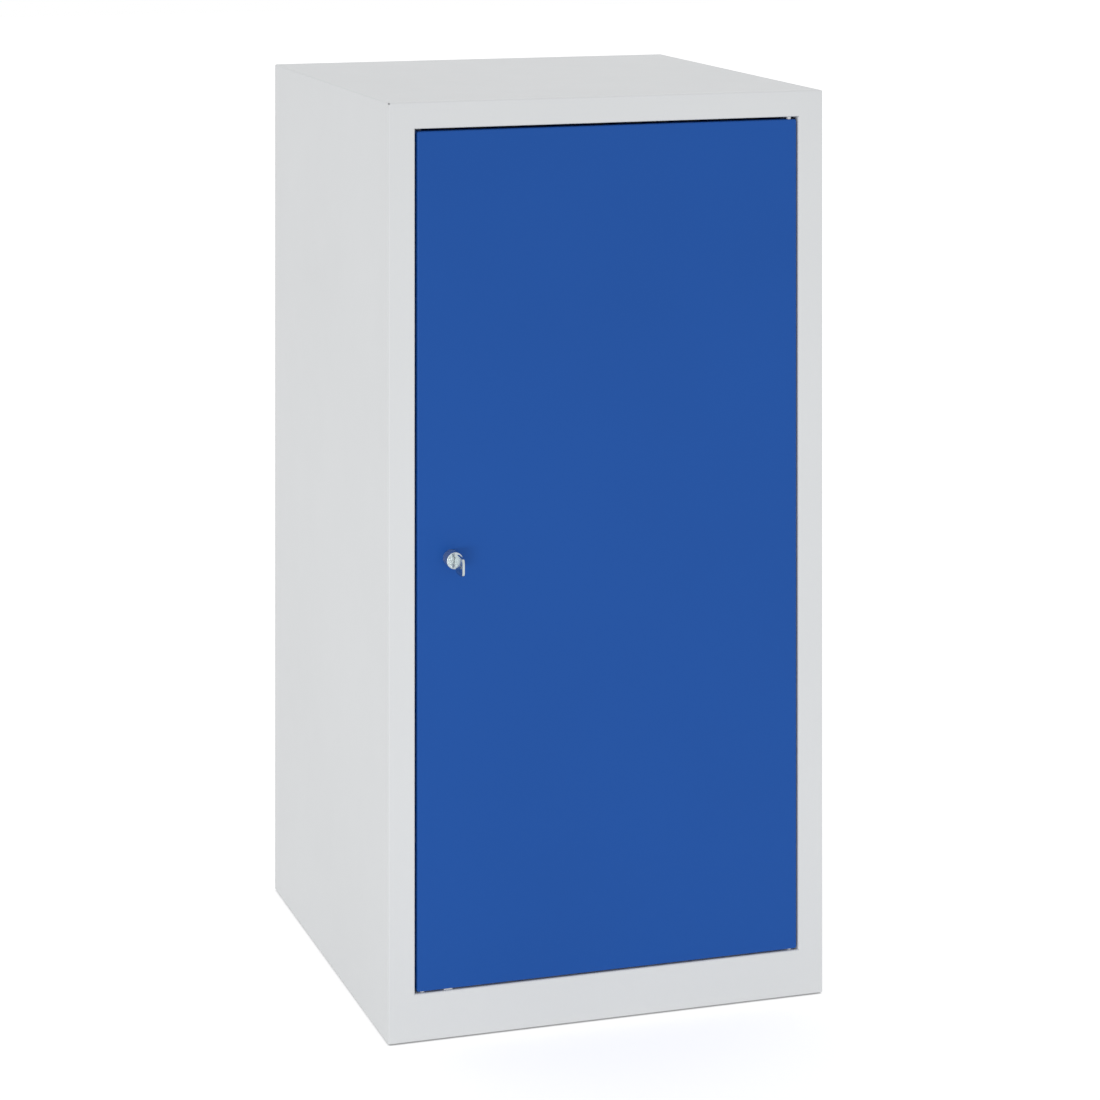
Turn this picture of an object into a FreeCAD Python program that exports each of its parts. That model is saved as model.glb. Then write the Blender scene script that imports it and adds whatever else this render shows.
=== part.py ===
import FreeCAD, Part
import math
import operator
import os

# A lockable steel storage cabinet: a folded sheet carcass on four glides, a pan door on two
# pivot pins, a cam lock with its key, and two shelves hung by clips on slotted rails.
# Millimetres, +Z up, front towards -Y, origin on the ground under the middle of the whole part.

document = FreeCAD.newDocument("StorageCabinet")
sheet = document.addObject("Spreadsheet::Sheet", "Sizes")
aliases = []
actions = {"+": operator.add, "-": operator.sub, "*": operator.mul, "/": operator.truediv}


class Size:
    """A number together with the sheet expression that gives it."""

    def __init__(self, value, text):
        self.value = value
        self.text = text

    def __add__(self, other):
        return combined(self, "+", other)

    def __radd__(self, other):
        return combined(other, "+", self)

    def __sub__(self, other):
        return combined(self, "-", other)

    def __rsub__(self, other):
        return combined(other, "-", self)

    def __mul__(self, other):
        return combined(self, "*", other)

    def __rmul__(self, other):
        return combined(other, "*", self)

    def __truediv__(self, other):
        return combined(self, "/", other)


def as_size(value):
    if isinstance(value, Size):
        return value
    return Size(value, str(value))


def combined(left, sign, right):
    left = as_size(left)
    right = as_size(right)
    value = actions[sign](left.value, right.value)
    return Size(value, "(" + left.text + " " + sign + " " + right.text + ")")


def whole(value):
    return Size(math.floor(value.value), "floor(" + value.text + ")")


def size(alias, value, meaning):
    """Writes one driving dimension into the sheet and returns it."""
    aliases.append(alias)
    row = str(len(aliases))
    sheet.set("A" + row, meaning)
    sheet.set("B" + row, str(value))
    sheet.setAlias("B" + row, alias)
    return Size(value, "Sizes." + alias)


# Carcass
width = size("width", 500, "overall width")
depth = size("depth", 500, "depth from the front plane to the back")
height = size("height", 1000, "overall height")
metal = size("metal", 1.0, "sheet thickness")
bend = size("bend", 1.0, "inside radius of a bend")
seam = size("seam", 0.01, "gap between neighbouring panels")
stile_width = size("stile_width", 29.6, "front face beside the door")
rail_height = size("rail_height", 28.5, "front face above the door")
plinth_height = size("plinth_height", 51.7, "front face below the door")
stop_lip = size("stop_lip", 12, "lip behind the door's edge")
rail_lip = size("rail_lip", 12, "upturned edge inside the top rail")
back_flange = size("back_flange", 20, "rear edge of a side panel")
base_flange = size("base_flange", 30, "turned-in bottom edge of the plinth")
weld_flange = size("weld_flange", 15, "turned-down weld edge")
weld_setback = size("weld_setback", 40, "weld edge short of the front and back")
relief_hole = size("relief_hole", 1.6, "relief hole at the front left top corner")
relief_inset = size("relief_inset", 1, "that hole from the top and side faces")
relief_depth = size("relief_depth", 4, "that hole behind the front plane")

# Glides under the base
glide_height = size("glide_height", 2, "height of a glide")
glide_diameter = size("glide_diameter", 22, "foot of a glide")
glide_stem = size("glide_stem", 7.8, "stem of a glide")
stem_length = size("stem_length", 6, "length of that stem")
glide_inset = size("glide_inset", 16, "glide centre from the side face")
glide_setback = size("glide_setback", 45, "glide centre from the front and back")
glide_round = size("glide_round", 0.8, "rounded foot edge")

# Door
latch_gap = size("latch_gap", 2.4, "gap beside the door on its latch side")
hinge_gap = size("hinge_gap", 1.7, "gap beside the door on its hinge side")
head_gap = size("head_gap", 2.9, "gap above the door")
foot_gap = size("foot_gap", 1.8, "gap below the door")
door_thickness = size("door_thickness", 18, "depth of the door pan")
door_lip = size("door_lip", 12, "turned-in edge of the door pan")
stiffener_width = size("stiffener_width", 50, "crown of the door's hat channel")
stiffener_flange = size("stiffener_flange", 15, "foot of the hat channel")
stiffener_depth = size("stiffener_depth", 14, "depth of the hat channel")
stiffener_end = size("stiffener_end", 24, "hat channel short of the door's ends")
bumper_height = size("bumper_height", 2.2, "thickness of a door bumper")
bumper_diameter = size("bumper_diameter", 8, "diameter of a door bumper")
bumper_stem = size("bumper_stem", 2.6, "stem of a door bumper")
bumper_inset = size("bumper_inset", 150, "bumper from the opening's ends")
rest_clear = size("rest_clear", 0.3, "gap between pieces that move past each other")
press_clear = size("press_clear", 0.05, "radial gap of a pressed-in piece")
skid_inset = size("skid_inset", 37.8, "door skid from the opening's latch side")
skid_width = size("skid_width", 9.5, "width of the door skid")
skid_length = size("skid_length", 10, "depth of the door skid")
skid_setback = size("skid_setback", 3, "door skid behind the front plane")
skid_round = size("skid_round", 1, "rounded front edge of the door skid")

# Hinge pivots
pivot_inset = size("pivot_inset", 9, "hinge axis from the opening's edge")
pivot_depth = size("pivot_depth", 5.5, "hinge axis behind the front plane")
pin_diameter = size("pin_diameter", 3.5, "hinge pin")
pin_engage = size("pin_engage", 6, "hinge pin inside the door")
pin_head = size("pin_head", 8, "head of a hinge pin")
pin_head_height = size("pin_head_height", 2, "height of that head")
running_clear = size("running_clear", 0.05, "radial gap of a turning fit")
bush_collar = size("bush_collar", 5.2, "collar of a hinge bush")
bush_shank = size("bush_shank", 4.7, "shank of a hinge bush")
bush_length = size("bush_length", 8, "shank inside the door")
plate_metal = size("plate_metal", 3, "thickness of a hinge plate")
plate_width = size("plate_width", 26, "hinge plate across")
plate_length = size("plate_length", 14, "hinge plate front to back")
plate_edge = size("plate_edge", 6, "hinge axis from the plate's edge")

# Lock and key
lock_inset = size("lock_inset", 37.6, "lock axis from the door's edge")
lock_rise = size("lock_rise", 2.1, "lock axis above the door's middle")
head_diameter = size("head_diameter", 18, "lock head")
head_height = size("head_height", 14.5, "lock head in front of the door")
head_round = size("head_round", 0.5, "rounded rim of the head")
index_offset = size("index_offset", 6.6, "index mark above or below the lock axis")
index_side = size("index_side", 1.6, "index mark beside that axis")
index_width = size("index_width", 1.5, "index mark across")
index_depth = size("index_depth", 1.6, "depth of the upper index mark")
index_shallow = size("index_shallow", 0.3, "depth of the lower index mark")
barrel_diameter = size("barrel_diameter", 16, "lock barrel")
nut_radius = size("nut_radius", 12.5, "corner radius of the lock nut")
nut_height = size("nut_height", 4, "thickness of the lock nut")
plug_diameter = size("plug_diameter", 10, "turning plug")
plug_recess = size("plug_recess", 0.1, "plug behind the head's face")
drive_size = size("drive_size", 7, "square drive of the cam")
cam_metal = size("cam_metal", 2, "thickness of the cam")
cam_width = size("cam_width", 14, "width of the cam")
cam_overlap = size("cam_overlap", 8, "cam behind the stop lip when locked")
cam_clear = size("cam_clear", 0.5, "gap between cam and stop lip")
cam_tip_round = size("cam_tip_round", 3, "rounded tip of the cam")
washer_diameter = size("washer_diameter", 12, "cam washer")
washer_metal = size("washer_metal", 1, "thickness of that washer")
screw_diameter = size("screw_diameter", 4, "cam screw")
screw_length = size("screw_length", 9, "cam screw inside the plug")
screw_head = size("screw_head", 8, "head of the cam screw")
screw_head_height = size("screw_head_height", 2.6, "height of that head")
screw_slot = size("screw_slot", 1.2, "slot in that head, wide and deep")
key_reach = size("key_reach", 45, "key end in front of the front plane")
key_metal = size("key_metal", 2.5, "thickness of the key's bow")
bow_length = size("bow_length", 25, "length of the key's bow")
bow_height = size("bow_height", 19.8, "height of the key's bow")
bow_drop = size("bow_drop", 1.1, "bow's middle below the blade's")
bow_round = size("bow_round", 5.5, "rounded corners of the bow")
bow_hole = size("bow_hole", 4.5, "hole in the bow")
bow_hole_inset = size("bow_hole_inset", 6, "that hole from the bow's end")
neck_height = size("neck_height", 6.4, "neck of the key")
blade_metal = size("blade_metal", 2.2, "thickness of the neck and the blade")
blade_height = size("blade_height", 5.6, "blade of the key")
blade_length = size("blade_length", 23, "blade inside the plug")
blade_play = size("blade_play", 0.4, "gap beside the blade")
key_clear = size("key_clear", 0.1, "gap above, below and behind the blade")
bit_width = size("bit_width", 2.2, "width of a notch in the blade")
bit_depth = size("bit_depth", 1.1, "depth of that notch")
bit_pitch = size("bit_pitch", 4, "spacing of the notches")
bit_count = size("bit_count", 4, "notches along the blade")

# Shelves
post_width = size("post_width", 25, "shelf rail front to back")
post_depth = size("post_depth", 12, "shelf rail from the side panel")
post_setback = size("post_setback", 12, "shelf rail behind the stop lip and before the back")
post_end = size("post_end", 10, "shelf rail short of the opening's ends")
slot_width = size("slot_width", 11, "slot in a shelf rail")
slot_height = size("slot_height", 4, "height of that slot")
slot_pitch = size("slot_pitch", 25, "spacing of the slots")
slot_start = size("slot_start", 16, "first slot above the rail's foot")
lower_slot = size("lower_slot", 10, "slot step that carries the lower shelf")
upper_slot = size("upper_slot", 22, "slot step that carries the upper shelf")
clip_metal = size("clip_metal", 2, "thickness of a shelf clip")
clip_width = size("clip_width", 10, "width of a shelf clip")
clip_ledge = size("clip_ledge", 12, "ledge of a shelf clip")
clip_leg = size("clip_leg", 9, "leg of a shelf clip below the ledge")
clip_hook = size("clip_hook", 3, "hook of a shelf clip above the tongue")
shelf_flange = size("shelf_flange", 25, "height of a shelf's edge")
shelf_hem = size("shelf_hem", 10, "turned-in edge under a shelf")
shelf_play = size("shelf_play", 1.5, "gap beside a shelf")
shelf_setback = size("shelf_setback", 6, "shelf behind the stop lip")

document.recompute()

# Places worked out from the driving dimensions
half = width / 2
front = (key_reach - depth) / 2
back = front + depth
outer_bend = bend + metal
frame_depth = door_thickness + rest_clear + bumper_height + metal
stop_back = front + frame_depth
opening_half = half - stile_width
opening_low = plinth_height
opening_high = height - rail_height
rail_half = opening_half + metal - seam
jamb_span = (opening_low + seam, opening_high - seam)
panel_top = height - outer_bend - seam
door_x = (latch_gap - opening_half, opening_half - hinge_gap)
door_low = opening_low + foot_gap
door_high = opening_high - head_gap
door_back = front + door_thickness
pivot_x = opening_half - pivot_inset
pivot_y = front + pivot_depth
lock_x = door_x[0] + lock_inset
lock_z = (door_low + door_high) / 2 + lock_rise
cam_front = stop_back + cam_clear
cam_back = cam_front + cam_metal
cam_reach = opening_half - stop_lip + lock_x + cam_overlap
barrel_back = cam_front - rest_clear
head_face = front - head_height
key_end = front - key_reach
post_low = opening_low + post_end
post_high = opening_high - post_end
front_post = stop_back + post_setback
rear_post = back - 2 * metal - post_setback - post_width
post_face = half - metal - post_depth
first_slot = post_low + slot_start
slot_count = whole((post_high - first_slot - slot_start) / slot_pitch) + 1
shelf_half = post_face - shelf_play


def inset(span, amount):
    return (span[0] + amount, span[1] - amount)


def centred(amount, middle=0):
    return (middle - amount / 2, middle + amount / 2)


def ordered(first, second):
    if as_size(first).value < as_size(second).value:
        return (first, second)
    return (second, first)


def across(side, near, far):
    """Span in X between two distances from the left (-1) or right (1) outer face."""
    return ordered(side * (half - near), side * (half - far))


def new_body(label):
    body = document.addObject("PartDesign::Body", label)
    body.Label = label
    return body


def bind(item, target, value):
    item.setExpression(target, as_size(value).text)


def primitive(body, name, shape, cut):
    kind = "Subtractive" if cut else "Additive"
    return body.newObject("PartDesign::" + kind + shape, name)


def block(body, name, x, y, z, cut=False):
    """A box between three spans, added to the body or cut out of it."""
    feature = primitive(body, name, "Box", cut)
    for length, axis, span in (("Length", "x", x), ("Width", "y", y), ("Height", "z", z)):
        bind(feature, length, span[1] - span[0])
        bind(feature, "Placement.Base." + axis, span[0])
    document.recompute()
    return feature


def set_along(feature, axis, place, span):
    """Stands a round or six-sided bar along one axis, through a place on the other two."""
    turns = {"x": FreeCAD.Rotation(FreeCAD.Vector(0, 1, 0), 90),
             "y": FreeCAD.Rotation(FreeCAD.Vector(1, 0, 0), -90),
             "z": FreeCAD.Rotation()}
    feature.Placement.Rotation = turns[axis]
    bind(feature, "Height", span[1] - span[0])
    bind(feature, "Placement.Base." + axis, span[0])
    for other, value in place.items():
        bind(feature, "Placement.Base." + other, value)
    document.recompute()


def rod(body, name, axis, place, span, diameter, cut=False):
    feature = primitive(body, name, "Cylinder", cut)
    bind(feature, "Radius", diameter / 2)
    set_along(feature, axis, place, span)
    return feature


def hexagon(body, name, axis, place, span, radius):
    feature = primitive(body, name, "Prism", False)
    feature.Polygon = 6
    bind(feature, "Circumradius", radius)
    set_along(feature, axis, place, span)


def lies_on(edge, line):
    """True where an edge's ends have the line's coordinates or fall inside its spans."""
    tolerance = 1e-4
    for vertex in edge.Vertexes:
        for axis, wanted in line.items():
            span = wanted if isinstance(wanted, tuple) else (wanted, wanted)
            place = getattr(vertex.Point, axis)
            if place < as_size(span[0]).value - tolerance:
                return False
            if place > as_size(span[1]).value + tolerance:
                return False
    return True


def rounded(body, name, radius, *lines):
    """Rounds the edges of the body so far that lie on any of the lines."""
    base = body.Tip
    names = []
    for number, edge in enumerate(base.Shape.Edges, 1):
        if any(lies_on(edge, line) for line in lines):
            names.append("Edge" + str(number))
    if not names:
        raise ValueError(body.Label + " has no edges for " + name)
    feature = body.newObject("PartDesign::Fillet", name)
    feature.Base = (base, names)
    bind(feature, "Radius", radius)
    document.recompute()
    if not feature.isValid():
        raise RuntimeError(body.Label + " could not round " + name)


def row_of(body, name, original, axis_role, pitch, count):
    """Repeats one feature along an axis of the body."""
    feature = body.newObject("PartDesign::LinearPattern", name)
    feature.Originals = [original]
    axis = [item for item in body.Origin.OriginFeatures if item.Role == axis_role][0]
    feature.Direction = (axis, [""])
    feature.Mode = "Spacing"
    bind(feature, "Offset", pitch)
    bind(feature, "Occurrences", count)
    body.Tip = feature
    document.recompute()


def pan(body, x, y, z, face):
    """A tray folded from one sheet, its face to the front or the top and its back open."""
    inner_x = inset(x, metal)
    if face == "front":
        inner_y = (y[0] + metal, y[1])
        inner_z = inset(z, metal)
        inner_plane = {"y": inner_y[0]}
        outer_plane = {"y": y[0]}
        inner_corners = [{"x": side, "z": end} for side in inner_x for end in inner_z]
        outer_corners = [{"x": side, "z": end} for side in x for end in z]
    else:
        inner_y = inset(y, metal)
        inner_z = (z[0], z[1] - metal)
        inner_plane = {"z": inner_z[1]}
        outer_plane = {"z": z[1]}
        inner_corners = [{"x": side, "y": end} for side in inner_x for end in inner_y]
        outer_corners = [{"x": side, "y": end} for side in x for end in y]
    block(body, "blank", x, y, z)
    block(body, "hollow", inner_x, inner_y, inner_z, cut=True)
    rounded(body, "inner_bends", bend, inner_plane, *inner_corners)
    rounded(body, "outer_bends", outer_bend, outer_plane, *outer_corners)


# Side panel: wall, front stile with its return and stop lip, rear and bottom flanges
def side_panel(label, side):
    body = new_body(label)
    full = (glide_height, panel_top)
    return_inset = stile_width - metal
    block(body, "wall", across(side, 0, metal), (front, back), full)
    block(body, "stile", across(side, 0, return_inset), (front, front + metal), full)
    block(body, "jamb", across(side, return_inset, stile_width), (front, stop_back), jamb_span)
    stop = across(side, return_inset, stile_width + stop_lip)
    block(body, "stop", stop, (stop_back - metal, stop_back), jamb_span)
    block(body, "rear_edge", across(side, 0, back_flange), (back - metal, back), full)
    foot = (glide_height, glide_height + metal)
    block(body, "foot", across(side, 0, return_inset), (front, back), foot)
    outside = side * half
    inside = side * (half - metal)
    jamb_face = side * opening_half
    jamb_rear = side * (opening_half + metal)
    rounded(body, "outer_bends", outer_bend,
            {"x": outside, "y": front},
            {"x": outside, "y": back},
            {"x": jamb_face, "y": front},
            {"x": jamb_rear, "y": stop_back})
    rounded(body, "inner_bends", bend,
            {"x": inside, "y": front + metal},
            {"x": inside, "y": back - metal},
            {"x": jamb_rear, "y": front + metal, "z": jamb_span},
            {"x": jamb_face, "y": stop_back - metal})
    # Above and below the jamb the stile stays flat up to the edge that the rail and the plinth meet
    stile_edge = across(side, return_inset - outer_bend, return_inset)
    for level in ((glide_height, jamb_span[0]), (jamb_span[1], panel_top)):
        block(body, "stile_edge", stile_edge, (front, front + metal), level)
    stem_hole = glide_stem + 2 * press_clear
    for place in (front + glide_setback, back - glide_setback):
        glide = {"x": side * (half - glide_inset), "y": place}
        rod(body, "glide_hole", "z", glide, foot, stem_hole, cut=True)
    return body


left_side = side_panel("left_side_panel", -1)
side_panel("right_side_panel", 1)

# Holes for the bumper stems in the latch side's stop lip
bumper_x = stop_lip / 2 - opening_half
bumper_levels = inset((opening_low, opening_high), bumper_inset)
stop_span = (stop_back - metal, stop_back)
for level in bumper_levels:
    stem_place = {"x": bumper_x, "z": level}
    rod(left_side, "bumper_hole", "y", stem_place, stop_span, bumper_stem + 2 * press_clear, cut=True)

# Top panel: a shallow lid with the front rail, a rear flange and weld edges inside the walls
top = new_body("top_panel")
lid_x = centred(width)
lid_y = (front, back)
lid_z = (opening_high, height)
pan(top, lid_x, lid_y, lid_z, "top")
below_lid = (opening_high, height - outer_bend)
for side in (-1, 1):
    beside_rail = ordered(side * half, side * rail_half)
    block(top, "side_notch", beside_rail, lid_y, below_lid, cut=True)
rail_sill = (opening_high, opening_high + metal)
rail_upturn = (opening_high, opening_high + rail_lip)
block(top, "rail_return", centred(2 * rail_half), (front, stop_back), rail_sill)
block(top, "rail_upturn", centred(2 * rail_half), stop_span, rail_upturn)
rounded(top, "rail_outer", outer_bend,
        {"y": front, "z": opening_high},
        {"y": stop_back, "z": opening_high})
rounded(top, "rail_inner", bend,
        {"y": front + metal, "z": opening_high + metal},
        {"y": stop_back - metal, "z": opening_high + metal})
weld_y = inset(lid_y, weld_setback)
for side in (-1, 1):
    weld_x = across(side, metal + seam, 2 * metal + seam)
    block(top, "weld_edge", weld_x, weld_y, (height - metal - weld_flange, height - metal / 2))
relief_place = {"x": relief_inset - half, "z": height - relief_inset}
rod(top, "relief", "y", relief_place, (front, front + relief_depth), relief_hole, cut=True)

# Floor panel: plinth, floor and weld edges in one folded sheet
floor = new_body("floor_panel")
plinth_x = centred(2 * rail_half)
floor_z = (opening_low - metal, opening_low)
floor_back = back - 2 * metal - seam
floor_x = inset(centred(width), metal + seam)
block(floor, "plinth", plinth_x, (front, front + metal), (glide_height, opening_low))
block(floor, "sill", plinth_x, (front, floor_back), floor_z)
block(floor, "floor", floor_x, (stop_back + seam, floor_back), floor_z)
plinth_foot = (front, front + base_flange)
block(floor, "plinth_foot", plinth_x, plinth_foot, (glide_height, glide_height + metal))
weld_z = (opening_low - weld_flange, opening_low)
for side in (-1, 1):
    weld_x = across(side, metal + seam, 2 * metal + seam)
    block(floor, "weld_edge", weld_x, weld_y, weld_z)
rear_weld = (floor_back - metal, floor_back)
block(floor, "rear_weld_edge", inset(floor_x, weld_setback), rear_weld, weld_z)
rounded(floor, "outer_bends", outer_bend, {"y": front, "z": opening_low})
rounded(floor, "inner_bends", bend, {"y": front + metal, "z": opening_low - metal})
pin_hole = pin_diameter + 2 * press_clear
pivot_place = {"x": pivot_x, "y": pivot_y}
rod(floor, "pin_hole", "z", pivot_place, floor_z, pin_hole, cut=True)
rod(top, "pin_hole", "z", pivot_place, rail_sill, pin_hole, cut=True)

# Back panel behind the rear flanges
rear = new_body("back_panel")
rear_x = inset(centred(width), metal + bend + seam)
rear_z = (glide_height + metal + seam, height - metal - bend - seam)
block(rear, "sheet", rear_x, (back - 2 * metal, back - metal), rear_z)

# Glides pressed into the bottom flanges
glides = new_body("base_glides")
for side in (-1, 1):
    for place in (front + glide_setback, back - glide_setback):
        middle = {"x": side * (half - glide_inset), "y": place}
        rod(glides, "foot", "z", middle, (0, glide_height), glide_diameter)
        rod(glides, "stem", "z", middle, (0, stem_length), glide_stem)
rounded(glides, "foot_edges", glide_round, {"z": 0})

# Slotted shelf rails on the side panels
def shelf_rail(label, side, near):
    body = new_body(label)
    y = (near, near + post_width)
    z = (post_low, post_high)
    face = side * post_face
    block(body, "bar", across(side, metal, metal + post_depth), y, z)
    rounded(body, "outer_bends", outer_bend, {"x": face, "y": y[0]}, {"x": face, "y": y[1]})
    hollow = across(side, metal, post_depth)
    block(body, "hollow", hollow, inset(y, metal), z, cut=True)
    inner = side * (post_face + metal)
    rounded(body, "inner_bends", bend, {"x": inner, "y": y[0] + metal}, {"x": inner, "y": y[1] - metal})
    web = across(side, post_depth, metal + post_depth)
    slot_y = centred(slot_width, near + post_width / 2)
    slot = block(body, "slot", web, slot_y, (first_slot, first_slot + slot_height), cut=True)
    row_of(body, "slots", slot, "Z_Axis", slot_pitch, slot_count)


for side, side_name in ((-1, "left"), (1, "right")):
    shelf_rail("shelf_rail_front_" + side_name, side, front_post)
    shelf_rail("shelf_rail_rear_" + side_name, side, rear_post)


# A shelf pan and the four clips that carry it
def shelf(label, step):
    body = new_body(label)
    low = first_slot + step * slot_pitch + clip_metal
    x = centred(2 * shelf_half)
    y = (stop_back + shelf_setback, back - 2 * metal - shelf_play)
    z = (low, low + shelf_flange)
    pan(body, x, y, z, "top")
    hem_x = inset(x, outer_bend)
    hem_z = (low, low + metal)
    block(body, "front_hem", hem_x, (y[0] + metal / 2, y[0] + shelf_hem), hem_z)
    block(body, "rear_hem", hem_x, (y[1] - shelf_hem, y[1] - metal / 2), hem_z)


def shelf_clips(label, step):
    body = new_body(label)
    low = first_slot + step * slot_pitch
    ledge_z = (low, low + clip_metal)
    web_front = metal + post_depth
    web_rear = post_depth - seam
    leg_front = web_front + seam
    for side in (-1, 1):
        for near in (front_post, rear_post):
            y = centred(clip_width, near + post_width / 2)
            tongue = across(side, web_rear - clip_metal, web_front + clip_ledge)
            block(body, "ledge", tongue, y, ledge_z)
            leg = across(side, leg_front, leg_front + clip_metal)
            block(body, "leg", leg, y, (low - clip_leg, low + clip_metal))
            hook = across(side, web_rear - clip_metal, web_rear)
            block(body, "hook", hook, y, (low, low + clip_metal + clip_hook))


for level, step in (("lower", lower_slot), ("upper", upper_slot)):
    shelf("shelf_" + level, step)
    shelf_clips("shelf_clips_" + level, step)

# Door pan with its turned-in edges and its holes
door = new_body("door_panel")
door_z = (door_low, door_high)
pan(door, door_x, (front, door_back), door_z, "front")
edge_y = (door_back - metal, door_back)
block(door, "edges", inset(door_x, metal), edge_y, inset(door_z, metal))
block(door, "window", inset(door_x, door_lip), edge_y, inset(door_z, door_lip), cut=True)
bush_hole = bush_shank + 2 * press_clear
plug_place = {"x": 0 - pivot_x, "y": pivot_y}
lower_edge = (door_low, door_low + metal)
rod(door, "upper_bush_hole", "z", pivot_place, (door_high - metal, door_high), bush_hole, cut=True)
rod(door, "lower_bush_hole", "z", pivot_place, lower_edge, bush_hole, cut=True)
rod(door, "spare_hole", "z", plug_place, lower_edge, bush_hole, cut=True)
lock_place = {"x": lock_x, "z": lock_z}
barrel_hole = barrel_diameter + 2 * press_clear
rod(door, "lock_hole", "y", lock_place, (front, front + metal), barrel_hole, cut=True)

# Hat channel inside the door
hat = new_body("door_stiffener")
hat_z = inset(door_z, stiffener_end)
hat_front = front + metal
hat_back = hat_front + stiffener_depth
crown_x = centred(stiffener_width)
foot_x = centred(stiffener_width + 2 * stiffener_flange)
channel_x = inset(crown_x, metal)
block(hat, "feet", foot_x, (hat_front, hat_front + metal), hat_z)
block(hat, "crown", crown_x, (hat_front, hat_back), hat_z)
block(hat, "channel", channel_x, (hat_front, hat_back - metal), hat_z, cut=True)
for side in (0, 1):
    rounded(hat, "outer_bends", outer_bend,
            {"x": crown_x[side], "y": hat_back},
            {"x": channel_x[side], "y": hat_front})
    rounded(hat, "inner_bends", bend,
            {"x": channel_x[side], "y": hat_back - metal},
            {"x": crown_x[side], "y": hat_front + metal})


# Hinge plates, pins and bushes
def hinge_plate(label, z):
    body = new_body(label)
    edge = pivot_x + plate_edge
    y_start = front + metal + bend + seam
    block(body, "plate", (edge - plate_width, edge), (y_start, y_start + plate_length), z)
    rod(body, "pin_hole", "z", pivot_place, z, pin_hole, cut=True)


def hinge_pin(label, shank, head):
    body = new_body(label)
    rod(body, "shank", "z", pivot_place, shank, pin_diameter)
    rod(body, "head", "z", pivot_place, head, pin_head)


def door_bush(label, place, collar, shank):
    body = new_body(label)
    rod(body, "collar", "z", place, collar, bush_collar)
    rod(body, "shank", "z", place, shank, bush_shank)
    return body


upper_plate_z = (opening_high + metal, opening_high + metal + plate_metal)
lower_plate_z = (opening_low - metal - plate_metal, opening_low - metal)
hinge_plate("upper_hinge_plate", upper_plate_z)
hinge_plate("lower_hinge_plate", lower_plate_z)
upper_shank = (door_high - metal - pin_engage, upper_plate_z[1])
lower_shank = (lower_plate_z[0], door_low + metal + pin_engage)
hinge_pin("upper_hinge_pin", upper_shank, (upper_plate_z[1], upper_plate_z[1] + pin_head_height))
hinge_pin("lower_hinge_pin", lower_shank, (lower_plate_z[0] - pin_head_height, lower_plate_z[0]))
upper_collar = (door_high, opening_high - rest_clear)
lower_collar = (opening_low + rest_clear, door_low)
upper_bush = (door_high - bush_length, door_high)
lower_bush = (door_low, door_low + bush_length)
pin_bore = pin_diameter + 2 * running_clear
bush = door_bush("upper_hinge_bush", pivot_place, upper_collar, upper_bush)
rod(bush, "bore", "z", pivot_place, (upper_bush[0], upper_collar[1]), pin_bore, cut=True)
bush = door_bush("lower_hinge_bush", pivot_place, lower_collar, lower_bush)
rod(bush, "bore", "z", pivot_place, (lower_collar[0], lower_bush[1]), pin_bore, cut=True)
door_bush("spare_pivot_plug", plug_place, lower_collar, lower_bush)

# Bumpers on the stop lip and the skid under the door's latch side
bumpers = new_body("door_bumpers")
bumper_y = (stop_span[0] - bumper_height, stop_span[0])
for level in bumper_levels:
    stem_place = {"x": bumper_x, "z": level}
    rod(bumpers, "pad", "y", stem_place, bumper_y, bumper_diameter)
    rod(bumpers, "stem", "y", stem_place, (bumper_y[0], stop_back), bumper_stem)
skid = new_body("door_skid")
skid_x = centred(skid_width, skid_inset - opening_half)
skid_y = (front + skid_setback, front + skid_setback + skid_length)
skid_top = door_low - rest_clear
block(skid, "skid", skid_x, skid_y, (opening_low, skid_top))
rounded(skid, "front_edge", skid_round, {"y": skid_y[0], "z": skid_top})

# Cam lock: housing and nut on the door, then the plug with its cam, washer and screw
housing = new_body("lock_housing")
rod(housing, "head", "y", lock_place, (head_face, front), head_diameter)
rounded(housing, "rim", head_round, {"y": head_face})
rod(housing, "barrel", "y", lock_place, (front, barrel_back), barrel_diameter)
plug_bore = plug_diameter + 2 * running_clear
rod(housing, "bore", "y", lock_place, (head_face, barrel_back), plug_bore, cut=True)
for level, deep in ((lock_z + index_offset, index_depth), (lock_z - index_offset, index_shallow)):
    index_place = {"x": lock_x - index_side, "z": level}
    rod(housing, "index_mark", "y", index_place, (head_face, head_face + deep), index_width, cut=True)
nut = new_body("lock_nut")
nut_y = (front + metal, front + metal + nut_height)
hexagon(nut, "hexagon", "y", lock_place, nut_y, nut_radius)
rod(nut, "thread", "y", lock_place, nut_y, barrel_hole, cut=True)

plug = new_body("lock_plug")
plug_face = head_face + plug_recess
blade_end = head_face + blade_length
rod(plug, "plug", "y", lock_place, (plug_face, cam_front), plug_diameter)
block(plug, "drive", centred(drive_size, lock_x), (cam_front, cam_back), centred(drive_size, lock_z))
keyway_x = centred(blade_metal + 2 * blade_play, lock_x)
keyway_z = centred(blade_height + 2 * key_clear, lock_z)
block(plug, "keyway", keyway_x, (plug_face, blade_end + key_clear), keyway_z, cut=True)
screw_hole = screw_diameter + 2 * press_clear
screw_end = cam_back - screw_length
rod(plug, "screw_hole", "y", lock_place, (screw_end - press_clear, cam_back), screw_hole, cut=True)

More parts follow.
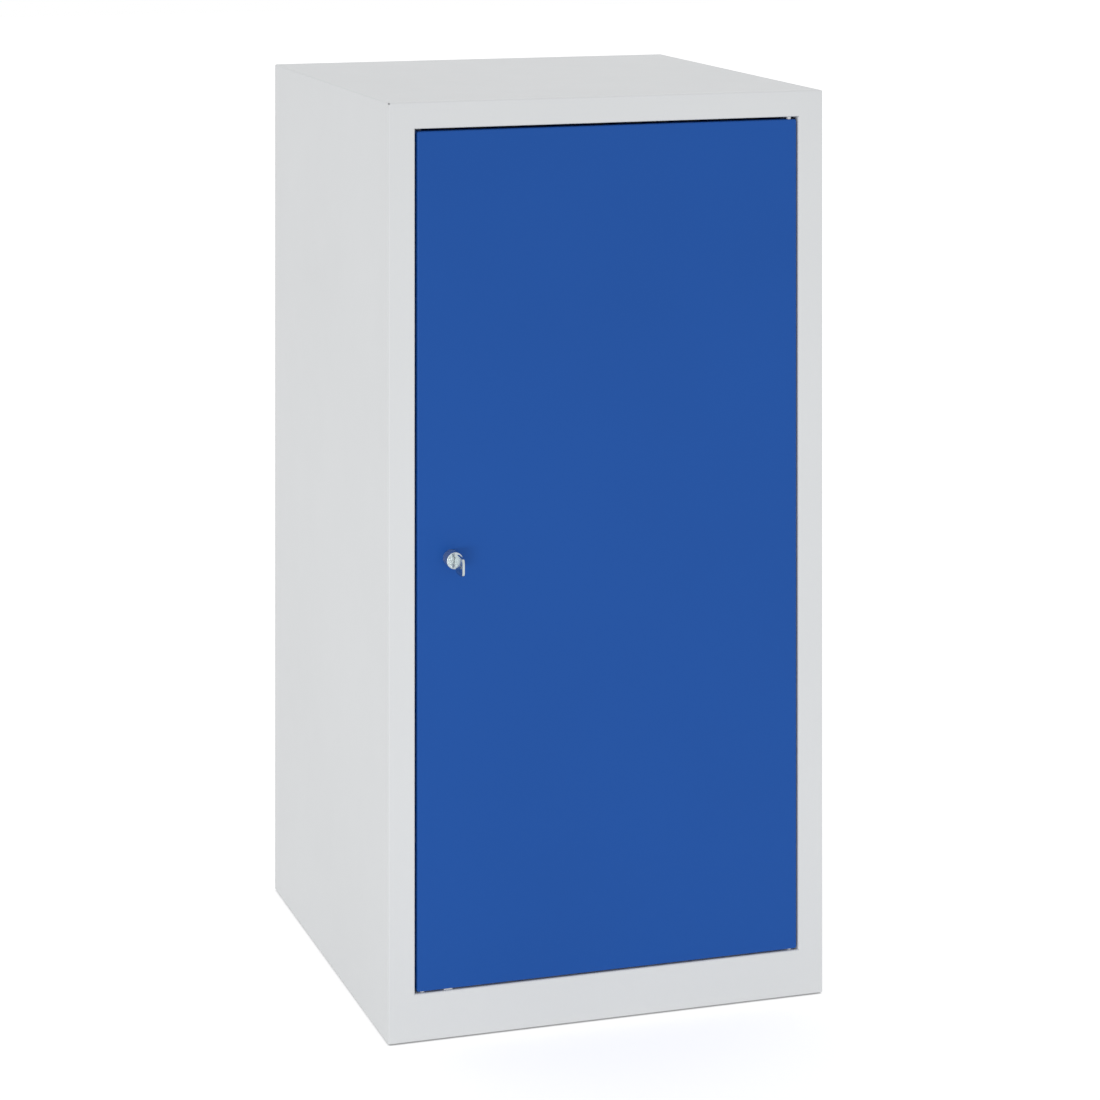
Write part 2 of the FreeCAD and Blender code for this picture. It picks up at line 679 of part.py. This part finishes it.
cam = new_body("lock_cam")
cam_x = centred(cam_width, lock_x)
cam_y = (cam_front, cam_back)
cam_z = (lock_z - cam_reach, lock_z + cam_width / 2)
block(cam, "arm", cam_x, cam_y, cam_z)
cam_heel_round = cam_width / 2 - rest_clear
rounded(cam, "heel", cam_heel_round, *[{"x": edge, "z": cam_z[1]} for edge in cam_x])
rounded(cam, "tip", cam_tip_round, *[{"x": edge, "z": cam_z[0]} for edge in cam_x])
square_x = centred(drive_size + 2 * press_clear, lock_x)
square_z = centred(drive_size + 2 * press_clear, lock_z)
block(cam, "square_hole", square_x, cam_y, square_z, cut=True)

washer = new_body("cam_washer")
washer_y = (cam_back, cam_back + washer_metal)
rod(washer, "disc", "y", lock_place, washer_y, washer_diameter)
rod(washer, "hole", "y", lock_place, washer_y, screw_hole, cut=True)

screw = new_body("cam_screw")
screw_head_y = (washer_y[1], washer_y[1] + screw_head_height)
rod(screw, "shank", "y", lock_place, (screw_end, washer_y[1]), screw_diameter)
rod(screw, "head", "y", lock_place, screw_head_y, screw_head)
slot_y = (screw_head_y[1] - screw_slot, screw_head_y[1])
block(screw, "slot", centred(screw_head, lock_x), slot_y, centred(screw_slot, lock_z), cut=True)

# Key: a flat bow, then a thinner neck and notched blade
key = new_body("key")
key_x = centred(key_metal, lock_x)
blade_x = centred(blade_metal, lock_x)
bow_back = key_end + bow_length
bow_middle = lock_z - bow_drop
bow_z = centred(bow_height, bow_middle)
blade_start = head_face - rest_clear
blade_z = centred(blade_height, lock_z)
block(key, "bow", key_x, (key_end, bow_back), bow_z)
bow_corners = [{"y": end, "z": level} for end in (key_end, bow_back) for level in bow_z]
rounded(key, "bow_corners", bow_round, *bow_corners)
block(key, "neck", blade_x, (bow_back - bow_round, blade_start), centred(neck_height, lock_z))
block(key, "blade", blade_x, (blade_start, blade_end), blade_z)
hole_place = {"y": key_end + bow_hole_inset, "z": bow_middle}
rod(key, "ring_hole", "x", hole_place, key_x, bow_hole, cut=True)
bit_start = blade_end - bit_pitch * bit_count
first_bit = (bit_start, bit_start + bit_width)
for edge in ((blade_z[0], blade_z[0] + bit_depth), (blade_z[1] - bit_depth, blade_z[1])):
    notch = block(key, "notch", blade_x, first_bit, edge, cut=True)
    row_of(key, "notches", notch, "Y_Axis", bit_pitch, bit_count)

# Every feature has to be up to date and every piece sound before anything is written
document.recompute()
for item in document.Objects:
    if "Invalid" in item.State or "Error" in item.State:
        raise RuntimeError(item.Label + " did not recompute")
pieces = [item for item in document.Objects if item.TypeId == "PartDesign::Body"]
for piece in pieces:
    if piece.Shape.isNull() or not piece.Shape.isValid():
        raise RuntimeError(piece.Label + " is not a sound solid")
os.makedirs("parts", exist_ok=True)
for piece in pieces:
    piece.Shape.exportStep("parts/" + piece.Label + ".step")
    print(piece.Label, len(piece.Shape.Solids), round(piece.Shape.Volume / 1000, 2), "cm3")
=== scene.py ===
import math

import bpy
from mathutils import Matrix, Vector

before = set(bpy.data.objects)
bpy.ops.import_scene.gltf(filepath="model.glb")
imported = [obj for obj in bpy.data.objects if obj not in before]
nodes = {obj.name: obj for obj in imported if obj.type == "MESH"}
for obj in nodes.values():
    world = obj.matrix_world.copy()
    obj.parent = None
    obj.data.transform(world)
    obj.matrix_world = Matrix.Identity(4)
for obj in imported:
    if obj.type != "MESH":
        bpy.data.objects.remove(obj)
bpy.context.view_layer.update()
scene = bpy.context.scene
scene.view_settings.view_transform = "Standard"
print("cabinet loaded:", len(nodes), "nodes")


# Node helpers, shared by all finishes. Each noise is given as waves per metre and layers of detail.
def newFinish(name):
    finish = bpy.data.materials.new(name)
    finish.use_nodes = True
    tree = finish.node_tree
    return finish, tree, tree.nodes["Principled BSDF"]


def ownPlace(tree):
    return tree.nodes.new("ShaderNodeTexCoord").outputs["Object"]


def noise(tree, place, scale, detail):
    grain = tree.nodes.new("ShaderNodeTexNoise")
    grain.inputs["Scale"].default_value = scale
    grain.inputs["Detail"].default_value = detail
    tree.links.new(place, grain.inputs["Vector"])
    return grain.outputs["Fac"]


def spread(tree, value, low, high, start=0.3, end=0.7):
    span = tree.nodes.new("ShaderNodeMapRange")
    span.inputs["From Min"].default_value = start
    span.inputs["From Max"].default_value = end
    span.inputs["To Min"].default_value = low
    span.inputs["To Max"].default_value = high
    tree.links.new(value, span.inputs["Value"])
    return span.outputs["Result"]


def between(tree, value, dark, light):
    mix = tree.nodes.new("ShaderNodeMix")
    mix.data_type = "RGBA"
    mix.inputs["A"].default_value = (*dark, 1.0)
    mix.inputs["B"].default_value = (*light, 1.0)
    tree.links.new(value, mix.inputs["Factor"])
    return mix.outputs["Result"]


def relief(tree, height, depth, under=None):
    bump = tree.nodes.new("ShaderNodeBump")
    bump.inputs["Distance"].default_value = depth
    tree.links.new(height, bump.inputs["Height"])
    if under is not None:
        tree.links.new(under, bump.inputs["Normal"])
    return bump.outputs["Normal"]


def joined(tree, action, first, second):
    step = tree.nodes.new("ShaderNodeMath")
    step.operation = action
    tree.links.new(first, step.inputs[0])
    tree.links.new(second, step.inputs[1])
    return step.outputs["Value"]


def shade(colour, factor):
    return tuple(channel * factor for channel in colour)


# Powder coat: an even colour that drifts a little, a fine orange peel and the sheet's own slight waves
bodyCoat = {
    "colour": (0.69, 0.704, 0.715),
    "drift": 0.012,
    "driftNoise": (3.5, 3.0),
    "specular": 0.3,
    "roughness": (0.42, 0.46),
    "roughNoise": (24.0, 4.0),
    "peelNoise": (620.0, 2.0),
    "peelDepth": 0.000035,
    "waveNoise": (5.0, 1.0),
    "waveDepth": 0.00045,
}
doorCoat = {
    "colour": (0.0088, 0.0785, 0.344),
    "drift": 0.025,
    "driftNoise": (3.5, 3.0),
    "specular": 0.17,
    "roughness": (0.38, 0.42),
    "roughNoise": (24.0, 4.0),
    "peelNoise": (620.0, 2.0),
    "peelDepth": 0.00003,
    "waveNoise": (4.0, 1.0),
    "waveDepth": 0.00045,
}


def powderCoat(name, coat):
    finish, tree, shader = newFinish(name)
    place = ownPlace(tree)
    cloud = spread(tree, noise(tree, place, *coat["driftNoise"]), 0.0, 1.0)
    dark = shade(coat["colour"], 1 - coat["drift"])
    light = shade(coat["colour"], 1 + coat["drift"])
    tree.links.new(between(tree, cloud, dark, light), shader.inputs["Base Color"])
    rough = spread(tree, noise(tree, place, *coat["roughNoise"]), *coat["roughness"])
    tree.links.new(rough, shader.inputs["Roughness"])
    waves = relief(tree, noise(tree, place, *coat["waveNoise"]), coat["waveDepth"])
    peel = relief(tree, noise(tree, place, *coat["peelNoise"]), coat["peelDepth"], waves)
    tree.links.new(peel, shader.inputs["Normal"])
    shader.inputs["Specular IOR Level"].default_value = coat["specular"]
    return finish


# Hot-dip zinc on the shelves and clips: crystals a few millimetres wide, each with its own tone
spangle = {
    "colour": (0.56, 0.58, 0.60),
    "tone": 0.14,
    "cells": 130.0,
    "roughness": (0.34, 0.52),
    "grainNoise": (260.0, 3.0),
    "grainDepth": 0.00006,
}


def galvanised(name):
    finish, tree, shader = newFinish(name)
    place = ownPlace(tree)
    crystals = tree.nodes.new("ShaderNodeTexVoronoi")
    crystals.inputs["Scale"].default_value = spangle["cells"]
    tree.links.new(place, crystals.inputs["Vector"])
    tone = tree.nodes.new("ShaderNodeSeparateColor")
    tree.links.new(crystals.outputs["Color"], tone.inputs["Color"])
    dark = shade(spangle["colour"], 1 - spangle["tone"])
    light = shade(spangle["colour"], 1 + spangle["tone"])
    tree.links.new(between(tree, tone.outputs["Red"], dark, light), shader.inputs["Base Color"])
    rough = spread(tree, tone.outputs["Green"], *spangle["roughness"], 0.0, 1.0)
    tree.links.new(rough, shader.inputs["Roughness"])
    grain = relief(tree, noise(tree, place, *spangle["grainNoise"]), spangle["grainDepth"])
    tree.links.new(grain, shader.inputs["Normal"])
    shader.inputs["Metallic"].default_value = 1.0
    return finish


# Bright metal: plated hardware, the lock's chrome and the key's nickel
zincPlate = {
    "colour": (0.60, 0.60, 0.585),
    "drift": 0.08,
    "patchNoise": (180.0, 4.0),
    "metal": 1.0,
    "roughness": (0.24, 0.38),
    "scuffNoise": (900.0, 3.0),
    "scuffDepth": 0.000006,
}
lockChrome = {
    "colour": (0.53, 0.585, 0.61),
    "drift": 0.02,
    "patchNoise": (180.0, 4.0),
    "metal": 0.85,  # a satin plate that is not all mirror
    "roughness": (0.22, 0.30),
    "scuffNoise": (1500.0, 3.0),
    "scuffDepth": 0.000003,
}
keyNickel = {
    "colour": (0.55, 0.60, 0.595),
    "drift": 0.04,
    "patchNoise": (180.0, 4.0),
    "metal": 1.0,
    "roughness": (0.16, 0.24),
    "scuffNoise": (1800.0, 3.0),
    "scuffDepth": 0.000003,
}


def brightMetal(name, plate):
    finish, tree, shader = newFinish(name)
    place = ownPlace(tree)
    patches = spread(tree, noise(tree, place, *plate["patchNoise"]), 0.0, 1.0)
    dark = shade(plate["colour"], 1 - plate["drift"])
    light = shade(plate["colour"], 1 + plate["drift"])
    tree.links.new(between(tree, patches, dark, light), shader.inputs["Base Color"])
    scuffs = noise(tree, place, *plate["scuffNoise"])
    tree.links.new(spread(tree, scuffs, *plate["roughness"]), shader.inputs["Roughness"])
    tree.links.new(relief(tree, scuffs, plate["scuffDepth"]), shader.inputs["Normal"])
    shader.inputs["Metallic"].default_value = plate["metal"]
    return finish


# Moulded pieces: nylon bushes, black glides and rubber bumpers
whiteNylon = {
    "colour": (0.80, 0.80, 0.78),
    "drift": 0.03,
    "patchNoise": (120.0, 3.0),
    "roughness": (0.42, 0.55),
    "grainNoise": (1400.0, 2.0),
    "grainDepth": 0.00003,
}
glidePlastic = {
    "colour": (0.022, 0.022, 0.024),
    "drift": 0.2,
    "patchNoise": (120.0, 3.0),
    "roughness": (0.45, 0.62),
    "grainNoise": (1100.0, 2.0),
    "grainDepth": 0.00003,
}
bumperRubber = {
    "colour": (0.030, 0.030, 0.031),
    "drift": 0.25,
    "patchNoise": (120.0, 3.0),
    "roughness": (0.70, 0.88),
    "grainNoise": (1700.0, 2.0),
    "grainDepth": 0.00003,
}


def moulded(name, plastic):
    finish, tree, shader = newFinish(name)
    place = ownPlace(tree)
    patches = spread(tree, noise(tree, place, *plastic["patchNoise"]), 0.0, 1.0)
    dark = shade(plastic["colour"], 1 - plastic["drift"])
    light = shade(plastic["colour"], 1 + plastic["drift"])
    tree.links.new(between(tree, patches, dark, light), shader.inputs["Base Color"])
    grain = noise(tree, place, *plastic["grainNoise"])
    tree.links.new(spread(tree, grain, *plastic["roughness"]), shader.inputs["Roughness"])
    tree.links.new(relief(tree, grain, plastic["grainDepth"]), shader.inputs["Normal"])
    return finish


finishes = {
    "body_paint": powderCoat("bodyPaint", bodyCoat),
    "door_paint": powderCoat("doorPaint", doorCoat),
    "galvanised": galvanised("galvanisedSheet"),
    "zinc_plate": brightMetal("zincPlate", zincPlate),
    "lock_chrome": brightMetal("lockChrome", lockChrome),
    "key_nickel": brightMetal("keyNickel", keyNickel),
    "white_nylon": moulded("whiteNylon", whiteNylon),
    "glide_plastic": moulded("glidePlastic", glidePlastic),
    "bumper_rubber": moulded("bumperRubber", bumperRubber),
}
for name, node in nodes.items():
    slot = node.data.materials[0].name.split(".")[0]
    node.data.materials[0] = finishes[slot]
print("finishes:", len(finishes))


# White surroundings: rays that show or mirror the background see full white, the rest light the cabinet
studio = {
    "ambient": 0.846,
    "floorSide": 30.0,
    "floorColour": (0.62, 0.62, 0.62),
    "floorGlow": 0.335,  # added to the light that the floor throws on the cabinet
    "floorSeen": 0.57,  # added where the floor is seen or mirrored, which makes it just white
    "contactReach": 0.004,  # metres from a foot or edge within which both fade, which paints a contact shadow on the floor
    "contactShade": (0.2, 1.0),  # share of both that is left right under the cabinet and past the fade
    "contactSky": (0.25, 0.6),  # open share of the sky at those two places
}
seenRays = ["Is Camera Ray", "Is Glossy Ray", "Is Transmission Ray"]


def whereSeen(tree, lit, seen):
    rays = tree.nodes.new("ShaderNodeLightPath").outputs
    found = rays[seenRays[0]]
    for kind in seenRays[1:]:
        found = joined(tree, "MAXIMUM", found, rays[kind])
    return spread(tree, found, lit, seen, 0.0, 1.0)


def whiteSurroundings():
    world = bpy.data.worlds.new("whiteStudio")
    world.use_nodes = True
    scene.world = world
    tree = world.node_tree
    backdrop = tree.nodes["Background"]
    backdrop.inputs["Color"].default_value = (1, 1, 1, 1)
    strength = whereSeen(tree, studio["ambient"], 1.0)
    tree.links.new(strength, backdrop.inputs["Strength"])


def paleFloor():
    half = studio["floorSide"] / 2
    mesh = bpy.data.meshes.new("floor")
    corners = [(-half, -half, 0), (half, -half, 0), (half, half, 0), (-half, half, 0)]
    mesh.from_pydata(corners, [], [(0, 1, 2, 3)])
    floor = bpy.data.objects.new("floor", mesh)
    scene.collection.objects.link(floor)
    finish, tree, shader = newFinish("paleFloor")
    shader.inputs["Base Color"].default_value = (*studio["floorColour"], 1)
    shader.inputs["Specular IOR Level"].default_value = 0.0
    shader.inputs["Roughness"].default_value = 0.9
    shader.inputs["Emission Color"].default_value = (1, 1, 1, 1)
    lift = whereSeen(tree, studio["floorGlow"], studio["floorSeen"])
    # Painted contact shadow: ambient occlusion fades the floor's added glow under and right beside the
    # cabinet
    contact = tree.nodes.new("ShaderNodeAmbientOcclusion")
    contact.inputs["Distance"].default_value = studio["contactReach"]
    fade = spread(tree, contact.outputs["AO"], *studio["contactShade"], *studio["contactSky"])
    tree.links.new(joined(tree, "MULTIPLY", lift, fade), shader.inputs["Emission Strength"])
    mesh.materials.append(finish)


# One low soft box in front, left of the camera
frontLeftBox = {
    "power": 2.15,  # watts
    "place": (-2.1, -4.0, 0.27),
    "aim": (0.0, 0.0, 0.34),
    "size": (1.5, 0.5),  # width and height
    "spread": 40.0,  # degrees, as with a grid on the box
}


def softBox(name, lamp):
    light = bpy.data.lights.new(name, "AREA")
    light.shape = "RECTANGLE"
    light.size, light.size_y = lamp["size"]
    light.spread = math.radians(lamp["spread"])
    light.energy = lamp["power"]
    box = bpy.data.objects.new(name, light)
    box.location = lamp["place"]
    box.rotation_euler = (Vector(lamp["aim"]) - box.location).to_track_quat("-Z", "Y").to_euler()
    scene.collection.objects.link(box)


whiteSurroundings()
paleFloor()
softBox("frontLeftBox", frontLeftBox)
print("studio: surroundings, floor and soft box")


# Level view camera: it looks along the horizon and the picture is taken beside and below that line,
# so upright edges stay upright
viewCamera = {
    "place": (-1.17215, -3.44689, 1.33117),
    "turn": -0.29838,  # radians from the cabinet's own depth direction
    "focal": 3158.31,  # pixels
    "aside": 100.33,  # pixels from the line of sight right to the middle of the picture
    "drop": 759.23,  # pixels from the line of sight down to the middle of the picture
    "pictureSide": 1100,  # pixels
    "sensor": 36.0,  # millimetres
    "reach": 100.0,  # metres
}


def levelCamera():
    turn = viewCamera["turn"]
    across = Vector((math.cos(turn), math.sin(turn), 0))
    ahead = Vector((-math.sin(turn), math.cos(turn), 0))
    up = Vector((0, 0, 1))
    axis = ahead + (across * viewCamera["aside"] - up * viewCamera["drop"]) / viewCamera["focal"]
    lean = Matrix((across, up, -axis.normalized())).transposed().to_4x4()
    data = bpy.data.cameras.new("viewCamera")
    data.sensor_width = viewCamera["sensor"]
    data.lens = data.sensor_width * viewCamera["focal"] * axis.length / viewCamera["pictureSide"]
    data.clip_end = viewCamera["reach"]
    camera = bpy.data.objects.new("viewCamera", data)
    stand = bpy.data.objects.new("cameraStand", None)
    scene.collection.objects.link(stand)
    scene.collection.objects.link(camera)
    camera.parent = stand
    camera.matrix_parent_inverse = Matrix.Translation(viewCamera["place"]) @ lean
    scene.camera = camera


levelCamera()
print("camera set")
